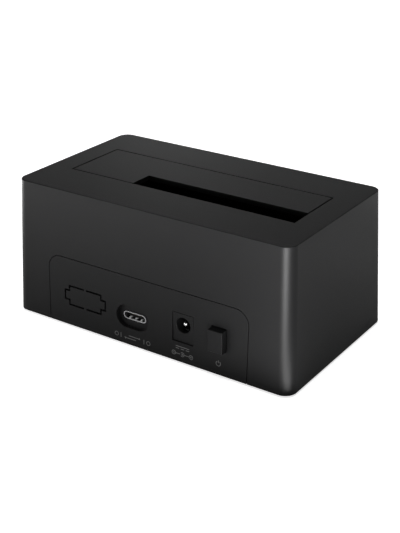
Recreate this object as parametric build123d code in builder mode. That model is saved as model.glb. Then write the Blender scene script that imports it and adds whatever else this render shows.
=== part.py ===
from build123d import *
import os

# Hard drive docking station for one 3.5 inch or 2.5 inch drive, in millimetres.
# +Z is up from the table, +X runs along the long side and +Y points out of the face with the sockets.
# The origin lies on the table, under the middle of the whole part's box.

os.makedirs("parts", exist_ok=True)

# Housing
housing_length = 130.0
housing_depth = 72.5
housing_height = 58.8
draft_run = 2.7
corner_radius = 4.6
low_corner_radius = 5.1
wall = 2.2
top_skin = 2.4
top_edge_bevel = 0.3
foot_clearance = 0.8

# Clearances
fixed_gap = 0.2
parting_gap = 0.3
flap_gap = 0.55
slide_gap = 0.3
running_clearance = 0.05
seat_clearance = 0.02
thread_clearance = 0.05

# Drive bay, which takes drives of 101.6 x 26.1 and 69.9 x 9.5 on one standard socket
bay_end_margin = 11.1
bay_depth = 30.8
bay_setback = 21.5
slot_length = 75.6
slot_width = 11.2
drive_side_gap = 0.65
drive_back_gap = 0.6
drive_socket_inset = 30.12
drive_socket_height = 3.5
liner_wall = 1.5
cradle_floor = 2.0
cradle_lift = 5.0
guide_height = 6.0
guide_lead_in = 1.5
end_guide_reach = 5.0
front_guide_reach = 3.6

# Flap and hinge
flap_thickness = 2.0
flap_edge_bevel = 0.15
hinge_inset = 1.7
hinge_drop = 2.3
hinge_rod_radius = 0.6
knuckle_radius = 1.6
end_knuckle_length = 12.0
middle_knuckle_length = 30.0
rod_seat_depth = 1.4

# Socket panel
panel_side_margin = 16.25
panel_height = 29.8
panel_corner_radius = 6.0
panel_flange = 2.0
panel_flange_thickness = 1.4

# Base and boards
base_recess = 0.6
base_thickness = 2.0
board_end_margin = 13.0
board_depth = 48.0
board_thickness = 1.6
board_lift = 4.4
board_gap = 0.4

# Places worked out from the housing
button_reach = 2.3
body_y = -button_reach / 2
rear_top_y = body_y + housing_depth / 2
front_top_y = body_y - housing_depth / 2
rim_z = foot_clearance
top_z = rim_z + housing_height
skin_z = top_z - top_skin
inner_x = housing_length / 2 - wall
inner_rear_y = rear_top_y - wall
inner_front_y = front_top_y + wall
base_bottom_z = rim_z + base_recess
base_top_z = base_bottom_z + base_thickness
board_bottom_z = base_top_z + board_lift
board_top_z = board_bottom_z + board_thickness


def spread(z):
    """How far the leaning walls stand outside their top edges at one height."""
    return draft_run * (top_z - z) / housing_height


rear_rim_y = rear_top_y + draft_run
front_rim_y = front_top_y - draft_run
panel_width = housing_length - 2 * panel_side_margin
panel_back_y = inner_rear_y + spread(board_top_z) - panel_flange_thickness
board_length = housing_length - 2 * board_end_margin
board_rear_y = panel_back_y - board_gap
board_y = board_rear_y - board_depth / 2
rear_face = Plane(
    origin=(0, rear_rim_y, rim_z), x_dir=(1, 0, 0), z_dir=(0, -housing_height, -draft_run)
)

# Places worked out from the bay and the drives in it
bay_length = housing_length - 2 * bay_end_margin
bay_end_x = bay_length / 2
bay_rear_y = rear_top_y - bay_setback
bay_front_y = bay_rear_y - bay_depth
bay_y = (bay_rear_y + bay_front_y) / 2
slot_end_x = slot_length - bay_end_x
slot_front_y = bay_rear_y - slot_width
liner_bottom_z = board_top_z + cradle_lift
cradle_top_z = liner_bottom_z + cradle_floor
socket_x = drive_side_gap + drive_socket_inset - bay_end_x
socket_y = bay_rear_y - drive_back_gap - drive_socket_height

# Places worked out from the flap
flap_end_x = bay_end_x - flap_gap
flap_rear_y = bay_rear_y - flap_gap
flap_front_y = bay_front_y + flap_gap
flap_bottom_z = top_z - flap_thickness
hinge_y = flap_front_y + hinge_inset
hinge_z = top_z - hinge_drop


def keep(part, name):
    """Label a finished piece and write it under its own name."""
    part.label = name
    export_step(part, f"parts/{name}.step")


def corner_places(half_x, low_y, high_y):
    """Two places on each side of the middle, at a front and a rear line."""
    return [(side * half_x, y) for side in (-1, 1) for y in (low_y, high_y)]


def housing_outline(z, inset, radius):
    """Rounded outline of the leaning walls at one height, in the sketch that is open."""
    with Locations((0, body_y)):
        RectangleRounded(
            housing_length + 2 * (spread(z) - inset),
            housing_depth + 2 * (spread(z) - inset),
            radius - inset,
        )


# Case screws run up through the base into bosses that hang from the lid of the housing
case_boss_inset = 5.8
case_boss_radius = 3.5
case_boss_web = 1.4
case_screw_radius = 1.3
case_screw_length = 12.0
case_head_radius = 2.8
case_head_height = 1.1
case_screw_places = corner_places(
    inner_x - case_boss_inset, inner_front_y + case_boss_inset, inner_rear_y - case_boss_inset
)

# Liner screws run up through the ears of the liner into short bosses
ear_reach = 6.0
ear_width = 6.0
ear_thickness = 2.0
ear_drop = 6.6
ear_spacing = 20.0
liner_boss_radius = 2.7
liner_screw_radius = 1.1
liner_screw_length = 6.5
liner_head_radius = 2.1
liner_head_height = 1.4
liner_end_x = bay_end_x + liner_wall
ear_top_z = skin_z - ear_drop
ear_x = liner_end_x + ear_reach / 2
liner_screw_places = corner_places(ear_x, bay_y - ear_spacing / 2, bay_y + ear_spacing / 2)

# Indicator light in the front wall
light_radius = 1.25
light_x = 0
light_rise = 1.1
light_z = board_top_z + light_rise

# The housing is one moulding, open below and cut away for the socket panel
with BuildPart() as housing_shell:
    with BuildSketch(Plane.XY.offset(rim_z)):
        housing_outline(rim_z, 0, low_corner_radius)
    with BuildSketch(Plane.XY.offset(top_z)):
        housing_outline(top_z, 0, corner_radius)
    loft(ruled=True)
    fillet(faces().sort_by(Axis.Z)[-1].edges(), top_edge_bevel)
    with BuildSketch(Plane.XY.offset(rim_z)):
        housing_outline(rim_z, wall, low_corner_radius)
    with BuildSketch(Plane.XY.offset(skin_z)):
        housing_outline(skin_z, wall, corner_radius)
    loft(ruled=True, mode=Mode.SUBTRACT)
    with BuildSketch(Plane.XY.offset(skin_z)):
        with Locations((0, bay_y)):
            Rectangle(bay_length, bay_depth)
    extrude(amount=top_skin, mode=Mode.SUBTRACT)
    with BuildSketch(rear_face):
        Rectangle(
            panel_width + 2 * parting_gap,
            panel_height + parting_gap,
            align=(Align.CENTER, Align.MIN),
        )
        fillet(vertices().group_by(Axis.Y)[-1], panel_corner_radius + parting_gap)
    extrude(amount=wall, mode=Mode.SUBTRACT)
    with BuildSketch(Plane.XY.offset(base_top_z)):
        with Locations(*case_screw_places):
            Circle(case_boss_radius)
    extrude(amount=skin_z - base_top_z)
    for boss_x, boss_y in case_screw_places:
        web_x = (inner_x + wall / 2) * boss_x / abs(boss_x)
        web_low_x = (inner_x + wall / 2 + spread(base_top_z)) * boss_x / abs(boss_x)
        with BuildSketch(Plane.XZ.offset(-boss_y)):
            Polygon(
                (boss_x, base_top_z),
                (web_low_x, base_top_z),
                (web_x, skin_z),
                (boss_x, skin_z),
                align=None,
            )
        extrude(amount=case_boss_web / 2, both=True)
    with BuildSketch(Plane.XY.offset(base_top_z)):
        with Locations(*case_screw_places):
            Circle(case_screw_radius + thread_clearance)
    extrude(amount=case_screw_length, mode=Mode.SUBTRACT)
    with BuildSketch(Plane.XY.offset(ear_top_z)):
        with Locations(*liner_screw_places):
            Circle(liner_boss_radius)
            Circle(liner_screw_radius + thread_clearance, mode=Mode.SUBTRACT)
    extrude(amount=ear_drop)
    with BuildSketch(Plane.YZ):
        with Locations((hinge_y, hinge_z)):
            Circle(hinge_rod_radius + seat_clearance)
    extrude(amount=bay_end_x + rod_seat_depth, both=True, mode=Mode.SUBTRACT)
    with BuildSketch(Plane.XZ.offset(-front_rim_y)):
        with Locations((light_x, light_z)):
            Circle(light_radius + seat_clearance)
    extrude(amount=-wall - draft_run, mode=Mode.SUBTRACT)
keep(housing_shell.part, "housing_shell")

# The liner is the four walls of the bay, hung under the top of the housing
flap_lug_width = 6.0
flap_lug_reach = 1.4
flap_lug_thickness = 1.3
flap_lug_root = 1.8
flap_lug_inset = 6.4
flap_lug_places = (slot_end_x + flap_lug_inset, flap_end_x - flap_lug_inset)
lug_window_height = 8.0
with BuildPart() as bay_liner:
    with BuildSketch(Plane.XY.offset(liner_bottom_z)):
        with Locations((0, bay_y)):
            Rectangle(bay_length + 2 * liner_wall, bay_depth + 2 * liner_wall)
            Rectangle(bay_length, bay_depth, mode=Mode.SUBTRACT)
    extrude(amount=skin_z - liner_bottom_z)
    with BuildSketch(Plane.XY.offset(ear_top_z)):
        for ear_place_x, ear_place_y in liner_screw_places:
            with Locations((ear_place_x, ear_place_y)):
                Rectangle(ear_reach, ear_width)
        with Locations(*liner_screw_places):
            Circle(liner_screw_radius + thread_clearance, mode=Mode.SUBTRACT)
    extrude(amount=-ear_thickness)
    with BuildSketch(Plane.XZ.offset(-bay_rear_y)):
        for lug_x in flap_lug_places:
            with Locations((lug_x, skin_z)):
                Rectangle(
                    flap_lug_width + 2 * flap_gap,
                    lug_window_height,
                    align=(Align.CENTER, Align.MAX),
                )
    extrude(amount=-liner_wall, mode=Mode.SUBTRACT)
    with BuildSketch(Plane.YZ):
        with Locations((hinge_y, hinge_z)):
            Circle(hinge_rod_radius + seat_clearance)
    extrude(amount=bay_end_x + rod_seat_depth, both=True, mode=Mode.SUBTRACT)
keep(bay_liner.part, "bay_liner")

# The flap closes the bay and leaves the slot for a slim drive open at one corner
spring_wire_radius = 0.15
spring_bend_radius = 0.18
spring_coil_radius = 0.9
spring_pitch = 0.8
spring_turns = 6.25
spring_leg_length = 7.0
spring_wall_leg_length = 3.0
spring_room = 0.2
spring_length = spring_pitch * spring_turns
end_knuckle_x = flap_end_x - flap_gap - end_knuckle_length
spring_place_x = (middle_knuckle_length / 2 + end_knuckle_x) / 2
flap_rib_height = 1.0
flap_rib_thickness = 0.9
flap_rib_setback = 2.5
with BuildPart() as bay_flap:
    with BuildSketch(Plane.XY.offset(flap_bottom_z)):
        with BuildLine():
            Polyline(
                (-flap_end_x, flap_front_y),
                (flap_end_x, flap_front_y),
                (flap_end_x, flap_rear_y),
                (slot_end_x, flap_rear_y),
                (slot_end_x, slot_front_y),
                (-flap_end_x, slot_front_y),
                close=True,
            )
        make_face()
    extrude(amount=flap_thickness)
    fillet(faces().sort_by(Axis.Z)[-1].edges(), flap_edge_bevel)
    with BuildSketch(Plane.XY.offset(flap_bottom_z)):
        for rib_x in (slot_end_x + flap_rib_setback, flap_end_x - flap_rib_setback):
            with Locations((rib_x, hinge_y + knuckle_radius / 2)):
                Rectangle(
                    flap_rib_thickness,
                    flap_rear_y - hinge_y - 2 * knuckle_radius,
                    align=(Align.CENTER, Align.MIN),
                )
        with Locations((-flap_end_x + knuckle_radius, slot_front_y - flap_rib_setback)):
            Rectangle(
                slot_end_x + flap_end_x - knuckle_radius,
                flap_rib_thickness,
                align=(Align.MIN, Align.CENTER),
            )
    extrude(amount=-flap_rib_height)
    with BuildSketch(Plane.YZ):
        with Locations((hinge_y, hinge_z)):
            Circle(knuckle_radius)
    extrude(amount=middle_knuckle_length / 2, both=True)
    for side in (-1, 1):
        with BuildSketch(Plane.YZ.offset(side * (flap_end_x - flap_gap))):
            with Locations((hinge_y, hinge_z)):
                Circle(knuckle_radius)
        extrude(amount=-side * end_knuckle_length)
        with BuildSketch(Plane.YZ.offset(side * spring_place_x)):
            with Locations((hinge_y, hinge_z)):
                Circle(spring_coil_radius + spring_wire_radius + spring_room)
        extrude(amount=spring_length / 2 + spring_pitch, both=True, mode=Mode.SUBTRACT)
        with BuildSketch(Plane.XY.offset(hinge_z + spring_coil_radius)):
            with Locations((side * spring_place_x - spring_length / 2, hinge_y)):
                Rectangle(
                    2 * (spring_wire_radius + spring_room),
                    spring_leg_length + spring_room,
                    align=(Align.CENTER, Align.MIN),
                )
        extrude(amount=spring_wire_radius + spring_room, both=True, mode=Mode.SUBTRACT)
        with BuildSketch(Plane.XY.offset(hinge_z)):
            with Locations((side * spring_place_x - spring_length / 2, hinge_y)):
                Rectangle(
                    2 * (spring_wire_radius + spring_room),
                    spring_leg_length + spring_room,
                    align=(Align.CENTER, Align.MIN),
                )
        extrude(amount=spring_coil_radius, mode=Mode.SUBTRACT)
    for lug_x in flap_lug_places:
        with BuildSketch(Plane.YZ.offset(lug_x)):
            with BuildLine():
                Polyline(
                    (flap_rear_y, flap_bottom_z),
                    (flap_rear_y, skin_z - slide_gap),
                    (flap_rear_y + flap_lug_reach, skin_z - slide_gap),
                    (flap_rear_y + flap_lug_reach, skin_z - slide_gap - flap_lug_thickness),
                    (flap_rear_y - flap_lug_root, skin_z - slide_gap - flap_lug_thickness),
                    (flap_rear_y - flap_lug_root, flap_bottom_z),
                    close=True,
                )
            make_face()
        extrude(amount=flap_lug_width / 2, both=True)
    with BuildSketch(Plane.YZ):
        with Locations((hinge_y, hinge_z)):
            Circle(hinge_rod_radius + running_clearance)
    extrude(amount=bay_end_x, both=True, mode=Mode.SUBTRACT)
keep(bay_flap.part, "bay_flap")

# A steel rod carries the flap, held between the housing and the liner at both ends
with BuildPart() as flap_hinge_rod:
    with BuildSketch(Plane.YZ):
        with Locations((hinge_y, hinge_z)):
            Circle(hinge_rod_radius)
    extrude(amount=bay_end_x + rod_seat_depth, both=True)
keep(flap_hinge_rod.part, "flap_hinge_rod")

# Two torsion springs wind round the rod, with one leg under the flap and one down the bay wall
for side, spring_name in ((-1, "flap_spring_right"), (1, "flap_spring_left")):
    coil_start_x = side * spring_place_x - spring_length / 2
    with BuildPart() as flap_spring:
        with BuildLine():
            Helix(
                spring_pitch,
                spring_length,
                spring_coil_radius,
                center=(coil_start_x, hinge_y, hinge_z),
                direction=(1, 0, 0),
            )
        coil_path = flap_spring.pending_edges[0]
        with BuildSketch(Plane(origin=coil_path @ 0, z_dir=coil_path % 0)):
            Circle(spring_wire_radius)
        sweep(path=coil_path, is_frenet=True)
        with Locations(coil_path @ 0, coil_path @ 1):
            Sphere(spring_bend_radius)
        with BuildSketch(Plane(origin=coil_path @ 0, z_dir=(0, 1, 0))):
            Circle(spring_wire_radius)
        extrude(amount=spring_leg_length)
        with BuildSketch(Plane(origin=coil_path @ 1, z_dir=(0, 0, -1))):
            Circle(spring_wire_radius)
        extrude(amount=spring_wall_leg_length)
    keep(flap_spring.part, spring_name)

# The base closes the housing and carries the board on posts
post_radius = 2.8
prop_radius = 2.2
board_screw_radius = 1.2
board_screw_length = 5.0
board_head_radius = 2.3
board_head_height = 1.5
board_screw_inset = 4.0
board_screw_places = corner_places(
    board_length / 2 - board_screw_inset,
    board_rear_y - board_depth + board_screw_inset,
    board_rear_y - board_screw_inset,
)
leg_end_inset = 4.4
leg_front_inset = 4.0
prop_share = 0.33
prop_places = [
    (-(bay_end_x - leg_end_inset), bay_rear_y - leg_front_inset),
    (bay_end_x - leg_end_inset, bay_rear_y - leg_front_inset),
    (-board_length * prop_share, board_rear_y - board_depth + leg_front_inset),
    (board_length * prop_share, board_rear_y - board_depth + leg_front_inset),
]
foot_radius = 5.0
foot_inset = 13.0
foot_seat = 0.6
foot_places = corner_places(
    inner_x - foot_inset, inner_front_y + foot_inset, inner_rear_y - foot_inset
)
vent_length = 22.0
vent_width = 1.6
vent_pitch = 4.0
vent_rows = 7
panel_stop_width = 6.0
panel_stop_thickness = 1.6
panel_stop_inset = 8.7
panel_stop_x = panel_width / 2 - panel_stop_inset
saddle_width = 5.0
saddle_thickness = 1.6
saddle_setback = 8.0
with BuildPart() as base_plate:
    with BuildSketch(Plane.XY.offset(base_bottom_z)):
        housing_outline(base_top_z, wall + fixed_gap, corner_radius)
        with Locations((0, body_y)):
            with GridLocations(0, vent_pitch, 1, vent_rows):
                SlotOverall(vent_length, vent_width, mode=Mode.SUBTRACT)
    extrude(amount=base_thickness)
    with BuildSketch(Plane.XY.offset(base_top_z)):
        with Locations(*board_screw_places):
            Circle(post_radius)
        with Locations(*prop_places):
            Circle(prop_radius)
    extrude(amount=board_lift)
    with BuildSketch(Plane.XY.offset(board_bottom_z)):
        with Locations(*board_screw_places):
            Circle(board_screw_radius + thread_clearance)
    extrude(amount=board_thickness - board_screw_length, mode=Mode.SUBTRACT)
    with BuildSketch(Plane.XY.offset(base_top_z)):
        for side in (-1, 1):
            with Locations((side * panel_stop_x, panel_back_y)):
                Rectangle(
                    panel_stop_width, panel_stop_thickness, align=(Align.CENTER, Align.MAX)
                )
    extrude(amount=board_lift - fixed_gap)
    with BuildSketch(Plane.XY.offset(base_top_z)):
        with Locations((light_x, inner_front_y + saddle_setback)):
            Rectangle(saddle_width, saddle_thickness)
    extrude(amount=light_z - base_top_z)
    with BuildSketch(Plane.XZ.offset(-inner_front_y)):
        with Locations((light_x, light_z)):
            Circle(light_radius + seat_clearance)
    extrude(amount=-2 * saddle_setback, mode=Mode.SUBTRACT)
    with BuildSketch(Plane.XY.offset(base_bottom_z)):
        with Locations(*case_screw_places):
            Circle(case_screw_radius + thread_clearance)
    extrude(amount=base_thickness, mode=Mode.SUBTRACT)
    with BuildSketch(Plane.XY.offset(base_bottom_z)):
        with Locations(*case_screw_places):
            Circle(case_head_radius + fixed_gap)
    extrude(amount=case_head_height, mode=Mode.SUBTRACT)
    with BuildSketch(Plane.XY.offset(base_bottom_z)):
        with Locations(*foot_places):
            Circle(foot_radius + seat_clearance)
    extrude(amount=foot_seat, mode=Mode.SUBTRACT)
keep(base_plate.part, "base_plate")

# Four soft feet sit in round pockets under the base
with BuildPart() as rubber_feet:
    with BuildSketch(Plane.XY):
        with Locations(*foot_places):
            Circle(foot_radius)
    extrude(amount=base_bottom_z + foot_seat)
keep(rubber_feet.part, "rubber_feet")

# Sockets and button on the panel: places along X, and heights measured from the board
usb_share = 0.056
usb_x = panel_width * usb_share
usb_rise = 3.4
usb_width = 11.1
usb_height = 3.26
usb_shell_wall = 0.3
usb_length = 8.0
usb_z = board_top_z + usb_rise
pocket_width = 16.0
pocket_height = 9.9
pocket_depth = 2.0
pocket_rise = 12.3
jack_share = -0.197
jack_x = panel_width * jack_share
jack_width = 9.6
jack_height = 12.2
jack_length = 14.2
jack_bore_rise = 7.3
jack_bore_radius = 3.3
jack_bore_depth = 9.5
jack_bore_z = board_top_z + jack_bore_rise
button_share = -0.369
button_x = panel_width * button_share
button_width = 6.5
button_height = 9.2
button_rise = 6.6
button_z = board_top_z + button_rise
knockout_share = 0.306
knockout_x = panel_width * knockout_share
knockout_rise = 13.6
knockout_length = 16.6
knockout_height = 8.4
knockout_reach = 21.2
knockout_tab = 4.1
knockout_groove = 0.75
knockout_depth = 1.4
knockout_bridge = 1.2
panel_flange_start = base_top_z - rim_z + fixed_gap
with BuildPart() as rear_io_panel:
    with BuildSketch(rear_face):
        Rectangle(panel_width, panel_height, align=(Align.CENTER, Align.MIN))
        fillet(vertices().group_by(Axis.Y)[-1], panel_corner_radius)
    extrude(amount=wall)
    with BuildSketch(rear_face.offset(wall)):
        with Locations((0, panel_flange_start)):
            Rectangle(
                panel_width + 2 * panel_flange,
                panel_height + panel_flange - panel_flange_start,
                align=(Align.CENTER, Align.MIN),
            )
        fillet(vertices().group_by(Axis.Y)[-1], panel_corner_radius + panel_flange)
    extrude(amount=panel_flange_thickness)
    with BuildSketch(rear_face):
        with Locations((usb_x, pocket_rise)):
            SlotOverall(pocket_width, pocket_height)
    extrude(amount=pocket_depth, mode=Mode.SUBTRACT)
    with BuildSketch(Plane.XZ.offset(-rear_rim_y)):
        with Locations((usb_x, usb_z)):
            SlotOverall(usb_width + 2 * fixed_gap, usb_height + 2 * fixed_gap)
        with Locations((jack_x, board_top_z - fixed_gap)):
            Rectangle(
                jack_width + 2 * fixed_gap,
                jack_height + 2 * fixed_gap,
                align=(Align.CENTER, Align.MIN),
            )
        with Locations((button_x, button_z)):
            Rectangle(button_width + 2 * slide_gap, button_height + 2 * slide_gap)
    extrude(amount=draft_run + wall + panel_flange_thickness, mode=Mode.SUBTRACT)
    with BuildSketch(rear_face):
        with Locations((knockout_x, knockout_rise)):
            Rectangle(knockout_length + knockout_groove, knockout_height + knockout_groove)
            Rectangle(knockout_reach + knockout_groove, knockout_tab + knockout_groove)
            Rectangle(
                knockout_length - knockout_groove,
                knockout_height - knockout_groove,
                mode=Mode.SUBTRACT,
            )
            Rectangle(
                knockout_reach - knockout_groove,
                knockout_tab - knockout_groove,
                mode=Mode.SUBTRACT,
            )
            Rectangle(
                knockout_bridge, knockout_height + 2 * knockout_groove, mode=Mode.SUBTRACT
            )
    extrude(amount=knockout_depth, mode=Mode.SUBTRACT)
keep(rear_io_panel.part, "rear_io_panel")

# The cradle is the floor of the bay: it frames the drive socket and guides the end of a drive
sata_length = 46.0
sata_width = 6.0
sata_top_length = 42.0
sata_top_width = 4.8
sata_top_height = 5.4
guide_width = 4.0
guide_share = 0.36
with BuildPart() as drive_cradle:
    with BuildSketch(Plane.XY.offset(liner_bottom_z)):
        with Locations((0, bay_y)):
            Rectangle(bay_length - 2 * fixed_gap, bay_depth - 2 * fixed_gap)
        with Locations((socket_x, socket_y)):
            Rectangle(
                sata_length + 2 * fixed_gap, sata_width + 2 * fixed_gap, mode=Mode.SUBTRACT
            )
    extrude(amount=cradle_floor)
    with BuildSketch(Plane.YZ.offset(bay_end_x - fixed_gap)):
        with Locations((bay_y, cradle_top_z)):
            Rectangle(
                bay_depth - 2 * fixed_gap, guide_height, align=(Align.CENTER, Align.MIN)
            )
    extrude(amount=fixed_gap - end_guide_reach)
    chamfer(
        edges().filter_by(Axis.Y).group_by(Axis.Z)[-1].sort_by(Axis.X)[0], guide_lead_in
    )
    for guide_x in (-bay_length * guide_share, 0, bay_length * guide_share):
        with BuildSketch(Plane.YZ.offset(guide_x)):
            guide_front_y = bay_front_y + fixed_gap
            guide_rear_y = bay_front_y + front_guide_reach
            guide_top_z = cradle_top_z + guide_height
            with BuildLine():
                Polyline(
                    (guide_front_y, cradle_top_z),
                    (guide_rear_y, cradle_top_z),
                    (guide_rear_y, guide_top_z - guide_lead_in),
                    (guide_rear_y - guide_lead_in, guide_top_z),
                    (guide_front_y, guide_top_z),
                    close=True,
                )
            make_face()
        extrude(amount=guide_width / 2, both=True)
    with BuildSketch(Plane.XY.offset(board_top_z)):
        with Locations(*prop_places):
            Circle(prop_radius)
    extrude(amount=cradle_lift)
keep(drive_cradle.part, "drive_cradle")

# The drive socket stands on the board and reaches up through the cradle
contact_pitch = 1.27
contact_width = 0.6
contact_thickness = 0.3
contact_length = 4.6
slot_depth = 5.0
slot_gap = 1.7
signal_contacts = 7
power_contacts = 15
signal_slot = contact_pitch * (signal_contacts + 1)
power_slot = contact_pitch * (power_contacts + 1)
slot_divider = 2.4
signal_x = socket_x - (power_slot + slot_divider) / 2
power_x = socket_x + (signal_slot + slot_divider) / 2
sata_top_z = cradle_top_z + sata_top_height
with BuildPart() as sata_socket:
    with BuildSketch(Plane.XY.offset(board_top_z)):
        with Locations((socket_x, socket_y)):
            Rectangle(sata_length, sata_width)
    extrude(amount=cradle_top_z - board_top_z)
    with BuildSketch(Plane.XY.offset(cradle_top_z)):
        with Locations((socket_x, socket_y)):
            Rectangle(sata_top_length, sata_top_width)
    extrude(amount=sata_top_height)
    chamfer(faces().sort_by(Axis.Z)[-1].edges(), slide_gap)
    with BuildSketch(Plane.XY.offset(sata_top_z)):
        with Locations((signal_x, socket_y)):
            Rectangle(signal_slot, slot_gap)
        with Locations((power_x, socket_y)):
            Rectangle(power_slot, slot_gap)
        with Locations(
            (signal_x - signal_slot / 2, socket_y), (power_x + power_slot / 2, socket_y)
        ):
            Rectangle(slot_gap, 2 * slot_gap, align=(Align.CENTER, Align.MAX))
    extrude(amount=-slot_depth, mode=Mode.SUBTRACT)
keep(sata_socket.part, "sata_socket")

# Plated strips line one wall of the two slots in the drive socket
with BuildPart() as sata_contacts:
    with BuildSketch(Plane.XY.offset(sata_top_z - slot_depth)):
        for row_x, contacts in ((signal_x, signal_contacts), (power_x, power_contacts)):
            with Locations((row_x, socket_y + (slot_gap - contact_thickness) / 2)):
                with GridLocations(contact_pitch, 0, contacts, 1):
                    Rectangle(contact_width, contact_thickness)
    extrude(amount=contact_length)
keep(sata_contacts.part, "sata_contacts")

# The power inlet is a moulded block whose upright face ends flush with the panel at its top
jack_face_y = rear_top_y + spread(board_top_z + jack_height)
jack_rear_y = jack_face_y - jack_length
jack_mouth_bevel = 0.15
pin_radius = 1.05
pin_nose_share = 0.95
pin_tip_depth = 1.0
strip_width = 2.0
strip_thickness = 0.3
strip_length = 7.0
strip_rise = 0.5
terminal_width = 2.4
terminal_thickness = 0.4
terminal_reach = 1.4
with BuildPart() as dc_jack_body:
    with BuildSketch(Plane.XZ.offset(-jack_face_y)):
        with Locations((jack_x, board_top_z)):
            Rectangle(jack_width, jack_height, align=(Align.CENTER, Align.MIN))
    extrude(amount=jack_length)
    with BuildSketch(Plane.XZ.offset(-jack_face_y)):
        with Locations((jack_x, jack_bore_z)):
            Circle(jack_bore_radius)
    extrude(amount=jack_bore_depth, mode=Mode.SUBTRACT)
    chamfer(
        edges().filter_by(GeomType.CIRCLE).sort_by(Axis.Y)[-1],
        jack_mouth_bevel,
    )
    with BuildSketch(Plane.XZ.offset(-jack_rear_y)):
        with Locations((jack_x, board_top_z)):
            Rectangle(terminal_width, jack_bore_rise, align=(Align.CENTER, Align.MIN))
    extrude(amount=-terminal_thickness, mode=Mode.SUBTRACT)
keep(dc_jack_body.part, "dc_jack_body")

with BuildPart() as dc_jack_pin:
    with BuildSketch(Plane.XZ.offset(pin_tip_depth - jack_face_y)):
        with Locations((jack_x, jack_bore_z)):
            Circle(pin_radius)
    extrude(amount=jack_bore_depth - pin_tip_depth)
    fillet(faces().sort_by(Axis.Y)[-1].edges(), pin_radius * pin_nose_share)
keep(dc_jack_pin.part, "dc_jack_pin")

with BuildPart() as dc_jack_spring:
    with BuildSketch(Plane.XZ.offset(jack_bore_depth - jack_face_y)):
        with Locations((jack_x, jack_bore_z - jack_bore_radius + strip_rise)):
            Rectangle(strip_width, strip_thickness)
    extrude(amount=-strip_length)
keep(dc_jack_spring.part, "dc_jack_spring")

# The port shell is a drawn steel sleeve with three sprung fingers bent in from its lower wall
usb_lip = 0.3
usb_front_y = rear_top_y + spread(usb_z) - pocket_depth + usb_lip
usb_back_y = usb_front_y - usb_length
usb_base_length = board_rear_y - usb_back_y
usb_inner_width = usb_width - 2 * usb_shell_wall
usb_inner_height = usb_height - 2 * usb_shell_wall
usb_floor_z = usb_z - usb_inner_height / 2
usb_port_width = 8.34
usb_cheek_setback = 0.2
tongue_width = 6.7
tongue_thickness = 0.7
tongue_tip_depth = 0.9
usb_back_wall = 0.8
finger_width = 0.7
finger_height = 0.5
finger_setback = 0.4
finger_ramp = 0.8
finger_length = 3.6
finger_pitch = 2.8
with BuildPart() as usb_c_shell:
    with BuildSketch(Plane.XZ.offset(-usb_front_y)):
        with Locations((usb_x, usb_z)):
            SlotOverall(usb_width, usb_height)
            SlotOverall(usb_inner_width, usb_inner_height, mode=Mode.SUBTRACT)
    extrude(amount=usb_length)
    for finger_x in (usb_x - finger_pitch, usb_x, usb_x + finger_pitch):
        with BuildSketch(Plane.YZ.offset(finger_x)):
            Polygon(
                (usb_front_y - finger_setback, usb_floor_z - usb_shell_wall / 2),
                (usb_front_y - finger_setback, usb_floor_z),
                (usb_front_y - finger_setback - finger_ramp, usb_floor_z + finger_height),
                (usb_front_y - finger_length, usb_floor_z),
                (usb_front_y - finger_length, usb_floor_z - usb_shell_wall / 2),
                align=None,
            )
        extrude(amount=finger_width / 2, both=True)
keep(usb_c_shell.part, "usb_c_shell")

# The moulded core holds the tongue in the sleeve and lifts the sleeve off the board
with BuildPart() as usb_c_core:
    with BuildSketch(Plane.XY.offset(board_top_z)):
        with Locations((usb_x, usb_back_y)):
            Rectangle(usb_inner_width, usb_base_length, align=(Align.CENTER, Align.MIN))
    extrude(amount=usb_rise - usb_height / 2)
    with BuildSketch(Plane.XZ.offset(-usb_back_y)):
        with Locations((usb_x, board_top_z)):
            Rectangle(
                usb_inner_width,
                usb_rise + usb_height / 2,
                align=(Align.CENTER, Align.MIN),
            )
    extrude(amount=usb_back_wall)
    with BuildSketch(Plane.XZ.offset(-usb_back_y)):
        with Locations((usb_x, usb_z)):
            Rectangle(tongue_width, tongue_thickness)
    extrude(amount=tongue_tip_depth - usb_length)
    with BuildSketch(Plane.XZ.offset(-usb_back_y)):
        with Locations((usb_x, usb_z)):
            SlotOverall(usb_inner_width, usb_inner_height)
            RectangleRounded(
                usb_port_width,
                usb_inner_height + 2 * fixed_gap,
                usb_inner_height / 2,
                mode=Mode.SUBTRACT,
            )
    extrude(amount=usb_cheek_setback - usb_length)
keep(usb_c_core.part, "usb_c_core")

usb_contact_pitch = 0.5
usb_contact_width = 0.26
usb_contact_thickness = 0.08
usb_contact_length = 3.4
usb_contacts_per_side = 12
tongue_tip_y = usb_front_y - tongue_tip_depth
contact_tip_depth = 0.4
with BuildPart() as usb_c_contacts:
    with BuildSketch(Plane.XZ.offset(contact_tip_depth - tongue_tip_y)):
        for side in (-1, 1):
            lift = side * (tongue_thickness + usb_contact_thickness) / 2
            with Locations((usb_x, usb_z + lift)):
                with GridLocations(usb_contact_pitch, 0, usb_contacts_per_side, 1):
                    Rectangle(usb_contact_width, usb_contact_thickness)
    extrude(amount=usb_contact_length)
keep(usb_c_contacts.part, "usb_c_contacts")

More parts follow.
